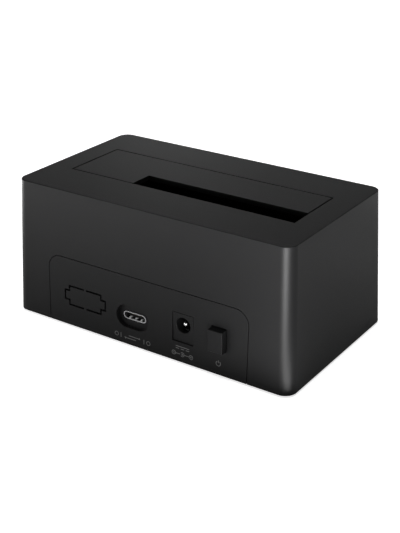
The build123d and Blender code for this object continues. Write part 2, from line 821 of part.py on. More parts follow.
# The latching power switch: a body on the board, a square plunger, its spring and the cap
button_travel = 2.0
button_length = 7.6
button_collar = 1.2
button_collar_thickness = 0.5
button_edge_bevel = 0.25
switch_size = 9.0
switch_length = 10.0
switch_leg = 1.0
plunger_size = 3.0
plunger_depth = 5.0
plunger_socket_depth = 3.5
switch_spring_wire = 0.2
switch_spring_radius = 1.0
switch_spring_turns = 4
switch_spring_length = 3.4
button_front_y = rear_rim_y + button_reach
button_back_y = button_front_y - button_length
switch_front_y = button_back_y - button_travel - slide_gap
switch_back_y = switch_front_y - switch_length
plunger_back_y = switch_front_y - plunger_depth
cavity_back_y = plunger_back_y - switch_spring_length
with BuildPart() as power_switch_body:
    with BuildSketch(Plane.XZ.offset(-switch_front_y)):
        with Locations((button_x, button_z)):
            Rectangle(switch_size, switch_size)
    extrude(amount=switch_length)
    with BuildSketch(Plane.XY.offset(board_top_z)):
        with Locations((button_x, switch_front_y - switch_length / 2)):
            with GridLocations(switch_size - switch_leg, switch_length - switch_leg, 2, 2):
                Rectangle(switch_leg, switch_leg)
    extrude(amount=button_rise - switch_size / 2)
    with BuildSketch(Plane.XZ.offset(-switch_front_y)):
        with Locations((button_x, button_z)):
            Rectangle(plunger_size + 2 * slide_gap, plunger_size + 2 * slide_gap)
    extrude(amount=switch_front_y - cavity_back_y, mode=Mode.SUBTRACT)
keep(power_switch_body.part, "power_switch_body")

with BuildPart() as switch_plunger:
    with BuildSketch(Plane.XZ.offset(-plunger_back_y)):
        with Locations((button_x, button_z)):
            Rectangle(plunger_size, plunger_size)
    extrude(amount=plunger_back_y - button_back_y - plunger_socket_depth)
keep(switch_plunger.part, "switch_plunger")

with BuildPart() as switch_spring:
    with BuildLine():
        Helix(
            (switch_spring_length - 2 * switch_spring_wire) / switch_spring_turns,
            switch_spring_length - 2 * switch_spring_wire,
            switch_spring_radius,
            center=(button_x, cavity_back_y + switch_spring_wire, button_z),
            direction=(0, 1, 0),
        )
    coil_path = switch_spring.pending_edges[0]
    with BuildSketch(Plane(origin=coil_path @ 0, z_dir=coil_path % 0)):
        Circle(switch_spring_wire)
    sweep(path=coil_path, is_frenet=True)
keep(switch_spring.part, "switch_spring")

with BuildPart() as power_button:
    with BuildSketch(Plane.XZ.offset(-button_front_y)):
        with Locations((button_x, button_z)):
            Rectangle(button_width, button_height)
    extrude(amount=button_length)
    fillet(faces().sort_by(Axis.Y)[-1].edges(), button_edge_bevel)
    with BuildSketch(Plane.XZ.offset(-button_back_y)):
        with Locations((button_x, button_z)):
            Rectangle(button_width + 2 * button_collar, button_height)
    extrude(amount=-button_collar_thickness)
    with BuildSketch(Plane.XZ.offset(-button_back_y)):
        with Locations((button_x, button_z)):
            Rectangle(plunger_size, plunger_size)
    extrude(amount=-plunger_socket_depth, mode=Mode.SUBTRACT)
keep(power_button.part, "power_button")

# The board, with holes for its screws and slots for the terminals of the inlet and the switch
switch_terminal_pitch = 2.5
switch_terminal_count = 3
switch_terminal_width = 0.8
jack_terminal_y = jack_rear_y + terminal_thickness / 2
switch_terminal_y = switch_back_y - terminal_thickness / 2
with BuildPart() as main_pcb:
    with BuildSketch(Plane.XY.offset(board_bottom_z)):
        with Locations((0, board_y)):
            Rectangle(board_length, board_depth)
        with Locations(*board_screw_places):
            Circle(board_screw_radius + thread_clearance, mode=Mode.SUBTRACT)
        with Locations((jack_x, jack_terminal_y)):
            Rectangle(
                terminal_width + 2 * fixed_gap,
                terminal_thickness + 2 * fixed_gap,
                mode=Mode.SUBTRACT,
            )
        with Locations((button_x, switch_terminal_y)):
            with GridLocations(switch_terminal_pitch, 0, switch_terminal_count, 1):
                Rectangle(
                    switch_terminal_width + 2 * fixed_gap,
                    terminal_thickness + 2 * fixed_gap,
                    mode=Mode.SUBTRACT,
                )
    extrude(amount=board_thickness)
keep(main_pcb.part, "main_pcb")

with BuildPart() as dc_jack_terminal:
    with BuildSketch(Plane.XY.offset(jack_bore_z)):
        with Locations((jack_x, jack_terminal_y)):
            Rectangle(terminal_width, terminal_thickness)
    extrude(amount=board_bottom_z - terminal_reach - jack_bore_z)
keep(dc_jack_terminal.part, "dc_jack_terminal")

with BuildPart() as switch_terminals:
    with BuildSketch(Plane.XY.offset(button_z)):
        with Locations((button_x, switch_terminal_y)):
            with GridLocations(switch_terminal_pitch, 0, switch_terminal_count, 1):
                Rectangle(switch_terminal_width, terminal_thickness)
    extrude(amount=board_bottom_z - terminal_reach - button_z)
keep(switch_terminals.part, "switch_terminals")

# Chips, coils and cans soldered to the board
bridge_size = 9.0
bridge_height = 0.9
bridge_shares = (0.115, -0.154)
flash_size = (5.3, 5.2)
flash_height = 1.8
flash_shares = (0.25, -0.133)
crystal_size = (5.0, 3.2)
crystal_height = 1.2
crystal_shares = (0.115, -0.363)
regulator_size = 5.0
regulator_height = 1.0
regulator_shares = (0.163, 0.242)
inductor_size = 7.0
inductor_height = 4.2
inductor_radius = 1.0
inductor_shares = ((0.24, 0.242), (0.327, 0.242))
can_radius = 3.15
can_height = 7.7
can_edge = 0.5
can_shares = ((0.409, 0.2), (-0.447, 0.2), (-0.077, 0.2))


def board_places(shares):
    """Places on the board, given as shares of its length and depth from its middle."""
    return [(board_length * across, board_y + board_depth * along) for across, along in shares]


with BuildPart() as bridge_chip:
    with BuildSketch(Plane.XY.offset(board_top_z)):
        with Locations(*board_places([bridge_shares])):
            Rectangle(bridge_size, bridge_size)
    extrude(amount=bridge_height)
keep(bridge_chip.part, "bridge_chip")

with BuildPart() as firmware_chip:
    with BuildSketch(Plane.XY.offset(board_top_z)):
        with Locations(*board_places([flash_shares])):
            Rectangle(*flash_size)
    extrude(amount=flash_height)
keep(firmware_chip.part, "firmware_chip")

with BuildPart() as clock_crystal:
    with BuildSketch(Plane.XY.offset(board_top_z)):
        with Locations(*board_places([crystal_shares])):
            RectangleRounded(*crystal_size, crystal_height / 2)
    extrude(amount=crystal_height)
keep(clock_crystal.part, "clock_crystal")

with BuildPart() as voltage_regulator:
    with BuildSketch(Plane.XY.offset(board_top_z)):
        with Locations(*board_places([regulator_shares])):
            Rectangle(regulator_size, regulator_size)
    extrude(amount=regulator_height)
keep(voltage_regulator.part, "voltage_regulator")

with BuildPart() as power_inductors:
    with BuildSketch(Plane.XY.offset(board_top_z)):
        with Locations(*board_places(inductor_shares)):
            RectangleRounded(inductor_size, inductor_size, inductor_radius)
    extrude(amount=inductor_height)
keep(power_inductors.part, "power_inductors")

with BuildPart() as filter_capacitors:
    with BuildSketch(Plane.XY.offset(board_top_z)):
        with Locations(*board_places(can_shares)):
            Circle(can_radius)
    extrude(amount=can_height)
    fillet(faces().filter_by(Axis.Z).group_by(Axis.Z)[-1].edges(), can_edge)
keep(filter_capacitors.part, "filter_capacitors")

# The indicator lamp lights the front wall through a clear rod
lamp_size = (3.0, 1.6)
lamp_height = 2.0
lamp_y = board_rear_y - board_depth + lamp_size[1] / 2
with BuildPart() as status_led:
    with BuildSketch(Plane.XY.offset(board_top_z)):
        with Locations((light_x, lamp_y)):
            Rectangle(*lamp_size)
    extrude(amount=lamp_height)
keep(status_led.part, "status_led")

light_pipe_back_y = board_rear_y - board_depth - fixed_gap
with BuildPart() as light_pipe:
    with BuildSketch(Plane.XZ.offset(-light_pipe_back_y)):
        with Locations((light_x, light_z)):
            Circle(light_radius)
    extrude(amount=light_pipe_back_y - front_top_y + spread(light_z))
keep(light_pipe.part, "light_pipe")


def screws(places, seat_z, head_radius, head_height, shank_radius, shank_length, up):
    """Pan head screws seated at one height, pointing up or down."""
    with BuildPart() as screw_set:
        with BuildSketch(Plane.XY.offset(seat_z)):
            with Locations(*places):
                Circle(head_radius)
        extrude(amount=-up * head_height)
        with BuildSketch(Plane.XY.offset(seat_z - up * head_height)):
            with Locations(*places):
                RegularPolygon(shank_radius, drive_sides)
        extrude(amount=up * head_height / 2, mode=Mode.SUBTRACT)
        with BuildSketch(Plane.XY.offset(seat_z)):
            with Locations(*places):
                Circle(shank_radius)
        extrude(amount=up * shank_length)
    return screw_set.part


drive_sides = 6
case_screws = screws(
    case_screw_places,
    base_bottom_z + case_head_height,
    case_head_radius,
    case_head_height,
    case_screw_radius,
    case_screw_length,
    1,
)
keep(case_screws, "case_screws")
liner_screws = screws(
    liner_screw_places,
    ear_top_z - ear_thickness,
    liner_head_radius,
    liner_head_height,
    liner_screw_radius,
    liner_screw_length,
    1,
)
keep(liner_screws, "liner_screws")
board_screws = screws(
    board_screw_places,
    board_top_z,
    board_head_radius,
    board_head_height,
    board_screw_radius,
    board_screw_length,
    -1,
)
keep(board_screws, "board_screws")
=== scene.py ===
import math

import bmesh
import bpy
from mathutils import Matrix, Vector


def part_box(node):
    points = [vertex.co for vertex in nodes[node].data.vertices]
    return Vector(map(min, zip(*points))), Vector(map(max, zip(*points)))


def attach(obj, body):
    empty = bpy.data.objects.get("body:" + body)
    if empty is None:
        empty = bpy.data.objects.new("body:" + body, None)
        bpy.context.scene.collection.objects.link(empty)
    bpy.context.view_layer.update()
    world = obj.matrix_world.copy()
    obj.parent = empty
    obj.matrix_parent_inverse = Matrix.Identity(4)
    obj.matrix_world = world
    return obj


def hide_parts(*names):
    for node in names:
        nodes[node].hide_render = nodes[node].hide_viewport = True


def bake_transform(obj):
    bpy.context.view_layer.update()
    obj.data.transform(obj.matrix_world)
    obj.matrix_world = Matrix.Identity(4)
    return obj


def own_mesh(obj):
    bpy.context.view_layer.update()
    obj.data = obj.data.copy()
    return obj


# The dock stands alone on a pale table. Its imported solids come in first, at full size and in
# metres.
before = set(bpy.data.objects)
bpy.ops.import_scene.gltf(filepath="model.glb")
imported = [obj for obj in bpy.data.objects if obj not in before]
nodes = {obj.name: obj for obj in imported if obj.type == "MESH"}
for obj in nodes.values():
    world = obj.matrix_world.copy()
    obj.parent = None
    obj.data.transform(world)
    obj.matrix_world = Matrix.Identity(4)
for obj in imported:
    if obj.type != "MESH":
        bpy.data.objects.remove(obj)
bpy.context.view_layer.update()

# Camera: a long lens above and to the socket side of the dock, level but for a third of a
# degree, with the middle of its view on the middle of the picture.
camera_place = (-0.23396, 0.33783, 0.21306)
camera_turn = (65.155, 0.331, -145.678)
camera_lens = 73.0
camera = bpy.data.objects.new("dock_camera", bpy.data.cameras.new("dock_camera"))
camera.location = camera_place
camera.rotation_euler = [math.radians(angle) for angle in camera_turn]
camera.data.lens = camera_lens
camera.data.sensor_width = 36.0
camera.data.clip_start = 0.01
bpy.context.collection.objects.link(camera)
bpy.context.scene.camera = camera
bpy.context.scene.view_settings.view_transform = "Standard"


# Table: one wide white sheet, matt, that fades to the same white as the room behind it and
# keeps the soft shadow under the dock.
def add_node(tree, kind, sockets=None, **settings):
    """A shader node with its settings, and its sockets set or linked by name."""
    made = tree.nodes.new(kind)
    for name, value in settings.items():
        setattr(made, name, value)
    for name, value in (sockets or {}).items():
        socket = made.inputs[name]
        if isinstance(value, bpy.types.NodeSocket):
            tree.links.new(value, socket)
        else:
            socket.default_value = value
    return made


def empty_tree(owner):
    """The cleared node tree of a material or of the world."""
    owner.use_nodes = True
    owner.node_tree.nodes.clear()
    return owner.node_tree


def seen_directly(tree, mirrored):
    """1 where the camera looks, a share of it in reflections and clear parts, else 0."""
    path = add_node(tree, "ShaderNodeLightPath")
    either = add_node(
        tree,
        "ShaderNodeMath",
        {0: path.outputs["Is Glossy Ray"], 1: path.outputs["Is Transmission Ray"]},
        operation="MAXIMUM",
    )
    share = add_node(
        tree,
        "ShaderNodeMath",
        {0: either.outputs[0], 1: mirrored},
        operation="MULTIPLY",
    )
    return add_node(
        tree,
        "ShaderNodeMath",
        {0: path.outputs["Is Camera Ray"], 1: share.outputs[0]},
        operation="MAXIMUM",
    ).outputs[0]


def finished_mesh(bm, name):
    """A mesh object made from a bmesh, at the origin, in the scene."""
    mesh = bpy.data.meshes.new(name)
    bm.to_mesh(mesh)
    bm.free()
    made = bpy.data.objects.new(name, mesh)
    bpy.context.collection.objects.link(made)
    return made


table_reach = 3.0
table_white = (0.86, 0.86, 0.86, 1.0)
table_lift = 0.72
table_mirrored = 0.05
fade_start = 0.25
fade_end = 0.7
bm = bmesh.new()
bmesh.ops.create_grid(bm, x_segments=1, y_segments=1, size=table_reach)
table = finished_mesh(bm, "table_top")
table_paper = bpy.data.materials.new("table_paper")
tree = empty_tree(table_paper)
sheet = add_node(tree, "ShaderNodeBsdfDiffuse", {"Color": table_white})
spot = add_node(tree, "ShaderNodeTexCoord")
away = add_node(
    tree, "ShaderNodeVectorMath", {0: spot.outputs["Object"]}, operation="LENGTH"
)
fade = add_node(
    tree,
    "ShaderNodeMapRange",
    {
        "Value": away.outputs["Value"],
        "From Min": fade_start,
        "From Max": fade_end,
        "To Min": table_lift,
        "To Max": 1.0,
    },
)
glow = add_node(
    tree,
    "ShaderNodeMath",
    {0: seen_directly(tree, table_mirrored), 1: fade.outputs[0]},
    operation="MULTIPLY",
)
lift = add_node(tree, "ShaderNodeEmission", {"Strength": glow.outputs[0]})
both = add_node(tree, "ShaderNodeAddShader", {0: sheet.outputs[0], 1: lift.outputs[0]})
add_node(tree, "ShaderNodeOutputMaterial", {"Surface": both.outputs[0]})
table.data.materials.append(table_paper)

# Room and lamps: white walls under a grey ceiling, a broad soft box overhead, three low strips
# round the dock, and light panels that lie on the table. The upright faces mirror the panels,
# which draw the soft streak down the round near corner and shade each face from top to bottom.
room_dim = 0.06
room_mirrored = 0.1
wall_top = 0.22
ceiling_top = 0.55
ceiling_grey = (0.3, 0.3, 0.3, 1.0)
world = bpy.data.worlds.new("studio_room")
bpy.context.scene.world = world
tree = empty_tree(world)
room = add_node(
    tree,
    "ShaderNodeMapRange",
    {"Value": seen_directly(tree, room_mirrored), "To Min": room_dim, "To Max": 1.0},
)
aim = add_node(tree, "ShaderNodeTexCoord")
height = add_node(tree, "ShaderNodeSeparateXYZ", {"Vector": aim.outputs["Generated"]})
ceiling = add_node(
    tree,
    "ShaderNodeMapRange",
    {"Value": height.outputs["Z"], "From Min": wall_top, "From Max": ceiling_top},
)
paint = add_node(
    tree,
    "ShaderNodeMix",
    {0: ceiling.outputs[0], 6: (1.0, 1.0, 1.0, 1.0), 7: ceiling_grey},
    data_type="RGBA",
)
walls = add_node(
    tree,
    "ShaderNodeBackground",
    {"Color": paint.outputs[2], "Strength": room.outputs[0]},
)
add_node(tree, "ShaderNodeOutputWorld", {"Surface": walls.outputs[0]})


def soft_box(name, place, target, width, height, power):
    """A soft studio lamp that faces a point and is not seen itself."""
    lamp = bpy.data.objects.new(name, bpy.data.lights.new(name, "AREA"))
    lamp.data.shape = "RECTANGLE"
    lamp.data.size = width
    lamp.data.size_y = height
    lamp.data.energy = power
    lamp.location = place
    aim = Vector(target) - Vector(place)
    lamp.rotation_euler = aim.to_track_quat("-Z", "Y").to_euler()
    lamp.visible_camera = False
    bpy.context.collection.objects.link(lamp)


def table_panel(name, x, y, width, depth, power):
    """A light panel that lies on the table and shines straight up."""
    soft_box(name, (x, y, panel_height), (x, y, 1.0), width, depth, power)


panel_height = 0.002
dock_middle = (0.0, 0.0, 0.05)
soft_box("overhead_box", (0.0, 0.0, 1.2), dock_middle, 1.0, 1.0, power=9.8)
soft_box("far_left_box", (0.45, -0.45, 0.12), dock_middle, 0.3, 0.1, power=0.15)
soft_box("far_right_box", (0.30, -0.56, 0.10), dock_middle, 0.3, 0.1, power=0.26)
soft_box("left_strip", (0.14, 0.22, 0.06), (0.05, 0.04, 0.055), 0.12, 0.05, power=0.20)
table_panel("corner_panel", -0.136, 0.190, 0.10, 0.12, power=3.2)
table_panel("corner_near_panel", -0.079, 0.070, 0.021, 0.064, power=0.058)
table_panel("rear_panel", 0.14, 0.18, 0.14, 0.09, power=0.08)
table_panel("rear_foot_panel", -0.044, 0.066, 0.05, 0.032, power=0.0055)
table_panel("front_panel", 0.12, -0.26, 0.22, 0.16, power=1.7)
table_panel("right_panel", 0.28, 0.0, 0.14, 0.26, power=1.2)
table_panel("side_near_panel", -0.12, -0.10, 0.05, 0.05, power=0.005)
table_panel("side_far_panel", -0.12, -0.26, 0.10, 0.10, power=0.18)


# Housing and base: one black moulding each, finely grained by the mould, with the light wall
# grain of a commodity plastic and no paint.
def make_grain_group():
    """Colour, roughness and height of a grained moulded plastic."""
    group = bpy.data.node_groups.new("moulded_grain", "ShaderNodeTree")
    face = group.interface
    face.new_socket(name="Colour", in_out="INPUT", socket_type="NodeSocketColor")
    for name in ("Grain Scale", "Roughness", "Spread"):
        face.new_socket(name=name, in_out="INPUT", socket_type="NodeSocketFloat")
    face.new_socket(name="Colour", in_out="OUTPUT", socket_type="NodeSocketColor")
    for name in ("Roughness", "Height"):
        face.new_socket(name=name, in_out="OUTPUT", socket_type="NodeSocketFloat")
    given = add_node(group, "NodeGroupInput")
    place = add_node(group, "ShaderNodeTexCoord")
    grain = add_node(
        group,
        "ShaderNodeTexNoise",
        {
            "Vector": place.outputs["Object"],
            "Scale": given.outputs["Grain Scale"],
            "Detail": 3.0,
            "Roughness": 0.55,
        },
    )
    cloud = add_node(
        group,
        "ShaderNodeTexNoise",
        {"Vector": place.outputs["Object"], "Scale": 46.0, "Detail": 2.0},
    )
    drift = add_node(
        group,
        "ShaderNodeMath",
        {0: cloud.outputs["Fac"], 1: given.outputs["Spread"]},
        operation="MULTIPLY",
    )
    speck = add_node(
        group,
        "ShaderNodeMath",
        {0: grain.outputs["Fac"], 1: given.outputs["Spread"]},
        operation="MULTIPLY",
    )
    shade = add_node(
        group,
        "ShaderNodeMath",
        {0: drift.outputs[0], 1: speck.outputs[0]},
        operation="ADD",
    )
    tone = add_node(
        group,
        "ShaderNodeMapRange",
        {
            "Value": shade.outputs[0],
            "From Min": 0.0,
            "From Max": 1.0,
            "To Min": 0.8,
            "To Max": 1.5,
        },
    )
    tinted = add_node(
        group,
        "ShaderNodeVectorMath",
        {0: given.outputs["Colour"], "Scale": tone.outputs[0]},
        operation="SCALE",
    )
    rough = add_node(
        group,
        "ShaderNodeMath",
        {0: given.outputs["Roughness"], 1: speck.outputs[0]},
        operation="ADD",
    )
    add_node(
        group,
        "NodeGroupOutput",
        {
            "Colour": tinted.outputs[0],
            "Roughness": rough.outputs[0],
            "Height": grain.outputs["Fac"],
        },
    )
    return group


def moulded(name, colour, roughness, sheen, grain_scale, grain_depth):
    """A moulded plastic: its colour, gloss, grain per metre and grain depth in metres."""
    made = bpy.data.materials.new(name)
    tree = empty_tree(made)
    grain = add_node(tree, "ShaderNodeGroup", node_tree=grain_group)
    grain.inputs["Colour"].default_value = (*colour, 1.0)
    grain.inputs["Grain Scale"].default_value = grain_scale
    grain.inputs["Roughness"].default_value = roughness
    grain.inputs["Spread"].default_value = tone_spread
    bump = add_node(
        tree,
        "ShaderNodeBump",
        {"Strength": 1.0, "Distance": grain_depth, "Height": grain.outputs["Height"]},
    )
    skin = add_node(
        tree,
        "ShaderNodeBsdfPrincipled",
        {
            "Base Color": grain.outputs["Colour"],
            "Roughness": grain.outputs["Roughness"],
            "Specular IOR Level": sheen,
            "Normal": bump.outputs["Normal"],
        },
    )
    add_node(tree, "ShaderNodeOutputMaterial", {"Surface": skin.outputs[0]})
    return made


def dress(finish, *names):
    """Puts one finish on every material slot of these solids."""
    for name in names:
        for slot in nodes[name].material_slots:
            slot.material = finish


tone_spread = 0.2
grain_group = make_grain_group()
case_black = moulded(
    "case_black",
    (0.0065, 0.0065, 0.0067),
    roughness=0.37,
    sheen=0.14,
    grain_scale=2600.0,
    grain_depth=0.00001,
)
dress(case_black, "housing_shell", "base_plate")

# Socket panel: a separate black moulding let into the leaning rear wall, a shade smoother than
# the housing, with a racetrack pocket, three windows and the outline of an unused knock-out.
panel_black = moulded(
    "panel_black",
    (0.0062, 0.0062, 0.0064),
    roughness=0.38,
    sheen=0.135,
    grain_scale=3000.0,
    grain_depth=0.000008,
)
dress(panel_black, "rear_io_panel")

# Prints on the panel: thin grey pad-printed signs under each fitting, two arrows for data, the
# sign for direct current over the sign for a positive centre pin, and the stand-by sign.
print_line = 0.00028
print_thickness = 0.00002
print_seat = 0.000004
wall_spread = 0.0027
shell_low, shell_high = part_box("housing_shell")
panel_rim = Vector((0.0, shell_high.y, shell_low.z))
panel_lean = math.atan2(wall_spread, shell_high.z - shell_low.z)
ring_radius = 0.00085
upright = math.pi / 2


def sign_bar(bm, x, y, length, width, turn=0.0):
    """A flat straight stroke about its middle."""
    place = Matrix.Translation((x, y, 0)) @ Matrix.Rotation(turn, 4, "Z")
    size = Matrix.Diagonal((length, width, 1, 1))
    bmesh.ops.create_grid(bm, x_segments=1, y_segments=1, size=0.5, matrix=place @ size)


def sign_arc(bm, x, y, radius, start, sweep):
    """A flat curved stroke spun from one edge."""
    spot = Vector((x, y, 0))
    out = Matrix.Rotation(start, 3, "Z") @ Vector((1, 0, 0))
    low = bm.verts.new(spot + out * (radius - print_line / 2))
    high = bm.verts.new(spot + out * (radius + print_line / 2))
    edge = bm.edges.new((low, high))
    whole = abs(sweep - math.tau) < 1e-6
    bmesh.ops.spin(
        bm,
        geom=[low, high, edge],
        cent=spot,
        axis=(0, 0, 1),
        angle=sweep,
        steps=32,
        use_merge=whole,
    )


def sign_dot(bm, x, y, radius, corners=24, turn=0.0):
    """A flat filled disc, or a triangle with three corners."""
    place = Matrix.Translation((x, y, 0)) @ Matrix.Rotation(turn, 4, "Z")
    bmesh.ops.create_circle(bm, cap_ends=True, segments=corners, radius=radius, matrix=place)


bm = bmesh.new()

# Two arrows for data, each way between a bar and a ring.
sign_x, sign_y = -0.0054, 0.0033
shaft_length, shaft_shift, shaft_rise = 0.0050, 0.0007, 0.0006
head_radius, head_reach = 0.00062, 0.0035
bar_length, bar_reach = 0.0021, 0.0058
ring_reach = 0.0080
for way in (-1, 1):
    shaft_y = sign_y + way * shaft_rise
    head_turn = 0.0 if way > 0 else math.pi
    sign_bar(bm, sign_x + way * shaft_shift, shaft_y, shaft_length, print_line)
    sign_dot(bm, sign_x + way * head_reach, shaft_y, head_radius, corners=3, turn=head_turn)
    sign_bar(bm, sign_x + way * bar_reach, sign_y, bar_length, print_line, turn=upright)
    sign_arc(bm, sign_x + way * ring_reach, sign_y, ring_radius, 0.0, math.tau)

# Direct current: a long line over three dashes.
sign_x, sign_y = 0.0192, 0.0062
line_length, line_rise = 0.0064, 0.0004
dash_length, dash_pitch, dash_drop = 0.0016, 0.0024, 0.0005
sign_bar(bm, sign_x, sign_y + line_rise, line_length, print_line)
for step in (-1, 0, 1):
    sign_bar(bm, sign_x + step * dash_pitch, sign_y - dash_drop, dash_length, print_line)

# Positive centre pin: a dot in a ring that is open to the left, with a minus and a plus in rings
# beside it and a lead each way.
sign_x, sign_y = 0.0192, 0.0034
dot_radius = 0.00036
open_start, open_sweep = math.radians(-140), math.radians(280)
ring_reach = 0.0041
stroke_length = 0.0009
minus_lead_reach, minus_lead_length = 0.0021, 0.0022
plus_lead_reach, plus_lead_length = 0.0018, 0.0028
sign_dot(bm, sign_x, sign_y, dot_radius)
sign_arc(bm, sign_x, sign_y, ring_radius, open_start, open_sweep)
for way in (-1, 1):
    sign_arc(bm, sign_x + way * ring_reach, sign_y, ring_radius, 0.0, math.tau)
    sign_bar(bm, sign_x + way * ring_reach, sign_y, stroke_length, print_line)
sign_bar(bm, sign_x + ring_reach, sign_y, stroke_length, print_line, turn=upright)
sign_bar(bm, sign_x - minus_lead_reach, sign_y, minus_lead_length, print_line)
sign_bar(bm, sign_x + plus_lead_reach, sign_y, plus_lead_length, print_line)

# Stand-by: a ring that is open at the top, with an upright stroke in its gap.
sign_x, sign_y = 0.0360, 0.0048
standby_radius = 0.0010
open_start, open_sweep = math.radians(125), math.radians(290)
stroke_length, stroke_rise = 0.0011, 0.0008
sign_arc(bm, sign_x, sign_y, standby_radius, open_start, open_sweep)
sign_bar(bm, sign_x, sign_y + stroke_rise, stroke_length, print_line, turn=upright)

# The flat strokes get their thickness and are laid onto the leaning panel.
raised = bmesh.ops.extrude_face_region(bm, geom=bm.faces[:])
lifted = [part for part in raised["geom"] if isinstance(part, bmesh.types.BMVert)]
bmesh.ops.translate(bm, verts=lifted, vec=(0, 0, print_thickness))
bmesh.ops.recalc_face_normals(bm, faces=bm.faces[:])
across = Vector((-1, 0, 0))
up = Vector((0, -math.sin(panel_lean), math.cos(panel_lean)))
out = Vector((0, math.cos(panel_lean), math.sin(panel_lean)))
onto_panel = Matrix((across, up, out)).transposed().to_4x4()
onto_panel.translation = panel_rim + out * print_seat
bmesh.ops.transform(bm, matrix=onto_panel, verts=bm.verts[:])
panel_prints = finished_mesh(bm, "panel_prints")
print_grey = moulded(
    "print_grey",
    (0.125, 0.125, 0.125),
    roughness=0.6,
    sheen=0.1,
    grain_scale=5000.0,
    grain_depth=0.000003,
)
panel_prints.data.materials.append(print_grey)
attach(panel_prints, "housing")


# Data port: a drawn and plated steel sleeve in the pocket, a black moulded core with its tongue,
# and gold plated contacts along both sides of the tongue.
def make_metal_group():
    """Colour, roughness and height of drawn or plated metal with fine streaks."""
    group = bpy.data.node_groups.new("drawn_metal", "ShaderNodeTree")
    face = group.interface
    face.new_socket(name="Colour", in_out="INPUT", socket_type="NodeSocketColor")
    face.new_socket(name="Streaks", in_out="INPUT", socket_type="NodeSocketVector")
    face.new_socket(name="Roughness", in_out="INPUT", socket_type="NodeSocketFloat")
    face.new_socket(name="Colour", in_out="OUTPUT", socket_type="NodeSocketColor")
    for name in ("Roughness", "Height"):
        face.new_socket(name=name, in_out="OUTPUT", socket_type="NodeSocketFloat")
    given = add_node(group, "NodeGroupInput")
    place = add_node(group, "ShaderNodeTexCoord")
    drawn = add_node(
        group,
        "ShaderNodeVectorMath",
        {0: place.outputs["Object"], 1: given.outputs["Streaks"]},
        operation="MULTIPLY",
    )
    streak = add_node(
        group,
        "ShaderNodeTexNoise",
        {"Vector": drawn.outputs[0], "Scale": 1.0, "Detail": 3.0, "Roughness": 0.6},
    )
    tone = add_node(
        group,
        "ShaderNodeMapRange",
        {"Value": streak.outputs["Fac"], "To Min": 0.82, "To Max": 1.12},
    )
    tinted = add_node(
        group,
        "ShaderNodeVectorMath",
        {0: given.outputs["Colour"], "Scale": tone.outputs[0]},
        operation="SCALE",
    )
    rough = add_node(
        group,
        "ShaderNodeMath",
        {0: given.outputs["Roughness"], 1: tone.outputs[0]},
        operation="MULTIPLY",
    )
    add_node(
        group,
        "NodeGroupOutput",
        {
            "Colour": tinted.outputs[0],
            "Roughness": rough.outputs[0],
            "Height": streak.outputs["Fac"],
        },
    )
    return group


def plated(name, colour, roughness, streaks):
    """A plated or bare metal: its colour, gloss and streaks per metre along X, Y and Z."""
    made = bpy.data.materials.new(name)
    tree = empty_tree(made)
    drawn = add_node(tree, "ShaderNodeGroup", node_tree=metal_group)
    drawn.inputs["Colour"].default_value = (*colour, 1.0)
    drawn.inputs["Streaks"].default_value = streaks
    drawn.inputs["Roughness"].default_value = roughness
    bump = add_node(
        tree,
        "ShaderNodeBump",
        {"Strength": 0.6, "Distance": streak_depth, "Height": drawn.outputs["Height"]},
    )
    skin = add_node(
        tree,
        "ShaderNodeBsdfPrincipled",
        {
            "Base Color": drawn.outputs["Colour"],
            "Roughness": drawn.outputs["Roughness"],
            "Metallic": 1.0,
            "Normal": bump.outputs["Normal"],
        },
    )
    add_node(tree, "ShaderNodeOutputMaterial", {"Surface": skin.outputs[0]})
    return made


def paint_shade_inwards(finish, mouth, depth, share):
    """Paints shade inside an opening that faces +Y: darkens a finish from its mouth down to a
    share of itself.
    """
    tree = finish.node_tree
    skin = next(made for made in tree.nodes if made.type == "BSDF_PRINCIPLED")
    full = skin.inputs["Base Color"].links[0].from_socket
    place = add_node(tree, "ShaderNodeTexCoord")
    along = add_node(tree, "ShaderNodeSeparateXYZ", {"Vector": place.outputs["Object"]})
    fade = add_node(
        tree,
        "ShaderNodeMapRange",
        {
            "Value": along.outputs["Y"],
            "From Min": mouth - depth,
            "From Max": mouth,
            "To Min": share,
            "To Max": 1.0,
        },
    )
    dimmed = add_node(
        tree, "ShaderNodeVectorMath", {0: full, "Scale": fade.outputs[0]}, operation="SCALE"
    )
    tree.links.new(dimmed.outputs[0], skin.inputs["Base Color"])


def paint_finger_highlights(finish, middle, reach, colour, roughness):
    """Paints a highlight: brightens a finish, and sets its roughness, within a reach of one place
    in X and Z.
    """
    tree = finish.node_tree
    skin = next(made for made in tree.nodes if made.type == "BSDF_PRINCIPLED")
    place = add_node(tree, "ShaderNodeTexCoord")
    along = add_node(tree, "ShaderNodeSeparateXYZ", {"Vector": place.outputs["Object"]})
    inside = [
        add_node(
            tree,
            "ShaderNodeMath",
            {0: along.outputs[axis], 1: middle[axis], 2: reach[axis]},
            operation="COMPARE",
        )
        for axis in ("X", "Z")
    ]
    highlight_mask = add_node(
        tree,
        "ShaderNodeMath",
        {0: inside[0].outputs[0], 1: inside[1].outputs[0]},
        operation="MULTIPLY",
    )
    full = skin.inputs["Base Color"].links[0].from_socket
    tint = add_node(
        tree,
        "ShaderNodeMix",
        {0: highlight_mask.outputs[0], 6: full, 7: (*colour, 1.0)},
        data_type="RGBA",
    )
    tree.links.new(tint.outputs[2], skin.inputs["Base Color"])
    gloss = skin.inputs["Roughness"].links[0].from_socket
    highlight_roughness = add_node(
        tree, "ShaderNodeMix", {0: highlight_mask.outputs[0], 2: gloss, 3: roughness}, data_type="FLOAT"
    )
    tree.links.new(highlight_roughness.outputs[0], skin.inputs["Roughness"])


